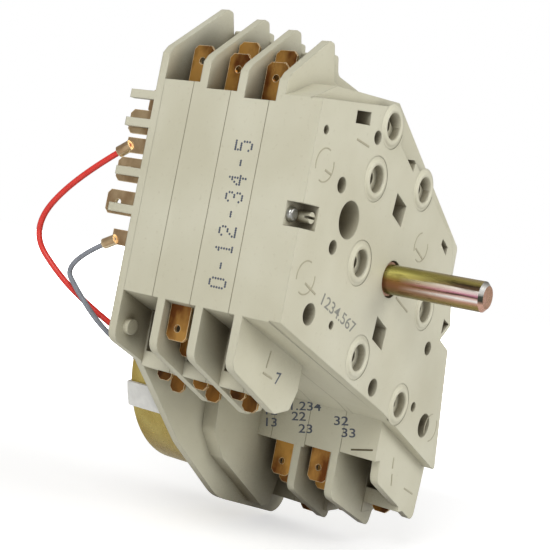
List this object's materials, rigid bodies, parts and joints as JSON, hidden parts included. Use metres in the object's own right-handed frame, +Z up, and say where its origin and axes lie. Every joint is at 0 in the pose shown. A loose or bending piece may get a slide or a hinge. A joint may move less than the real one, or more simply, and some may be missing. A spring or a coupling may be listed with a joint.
{
  "type": "washing machine timer",
  "caption": "Motor driven programme timer with a round control shaft, a stack of moulded switch slices and banks of blade terminals.",
  "frame": {"origin": "the control shaft axis on the mounting face", "axes": "+X right seen from the front, +Y back through the stack, +Z up; the shaft points along -Y"},
  "size_m": [0.098, 0.1116, 0.1408],
  "materials": {
    "housing": "satin",
    "pale_brass": "stamped",
    "copper_alloy": "stamped",
    "gear_plastic": "moulded",
    "zinc_steel": "yellow passivated",
    "plain_steel": "bright",
    "label": "paper",
    "coil_former": "moulded",
    "rotor_ferrite": "dark",
    "red_insulation": "satin",
    "gray_insulation": "satin"
  },
  "bodies": {
    "stack": {"contact_spring_front": "copper_alloy", "contact_spring_middle": "copper_alloy", "corner_boss": "housing", "corner_rivet": "plain_steel", "drum_cover": "housing", "front_housing": "housing", "gear_arbor": "plain_steel", "gear_cover": "housing", "gray_lead": "gray_insulation", "motor_band": "label", "motor_base": "zinc_steel", "motor_can": "zinc_steel", "motor_coil": "coil_former", "red_lead": "red_insulation", "stack_rivets": "plain_steel", "switch_module_front": "housing", "switch_module_middle": "housing", "switch_module_rear": "housing", "terminal_back_1": "pale_brass", "terminal_back_2": "pale_brass", "terminal_back_3": "pale_brass", "terminal_back_4": "pale_brass", "terminal_back_gray": "pale_brass", "terminal_back_red": "pale_brass", "terminal_left_front": "copper_alloy", "terminal_left_row3_1": "copper_alloy", "terminal_left_row3_2": "copper_alloy", "terminal_left_row3_3": "copper_alloy", "terminal_left_row4_1": "copper_alloy", "terminal_left_row4_2": "copper_alloy", "terminal_left_row4_3": "copper_alloy", "terminal_left_second": "copper_alloy", "terminal_low_front_1": "copper_alloy", "terminal_low_front_2": "copper_alloy", "terminal_low_row_1": "copper_alloy", "terminal_low_row_2": "copper_alloy", "terminal_low_row_3": "copper_alloy", "terminal_low_second_1": "copper_alloy", "terminal_low_second_2": "copper_alloy", "terminal_top_back_1": "copper_alloy", "terminal_top_back_2": "copper_alloy", "terminal_top_front_1": "copper_alloy", "terminal_top_front_2": "copper_alloy", "terminal_top_front_3": "copper_alloy"},
    "control_shaft": {"control_shaft": "zinc_steel", "shaft_clip": "plain_steel", "cam_disc_front": "gear_plastic", "cam_disc_middle": "gear_plastic", "drum_wheel": "gear_plastic"},
    "reduction_gear": {"reduction_gear": "gear_plastic"},
    "motor_rotor": {"motor_rotor": "rotor_ferrite", "motor_arbor": "plain_steel", "motor_pinion": "gear_plastic"}
  },
  "joints": [
    {"name": "shaft_turn", "type": "hinge", "parent": "stack", "child": "control_shaft", "pos_m": [0, 0.02, 0], "axis": [0, 1, 0], "continuous": true},
    {"name": "gear_turn", "type": "hinge", "parent": "stack", "child": "reduction_gear", "pos_m": [0.01721, 0.0435, -0.01912], "axis": [0, 1, 0], "continuous": true},
    {"name": "rotor_turn", "type": "hinge", "parent": "stack", "child": "motor_rotor", "pos_m": [0.0146, 0.058, -0.0334], "axis": [0, 1, 0], "continuous": true}
  ],
  "couplings": [
    {"joint": "gear_turn", "follows": "shaft_turn", "ratio": -3},
    {"joint": "rotor_turn", "follows": "shaft_turn", "ratio": 6}
  ]
}
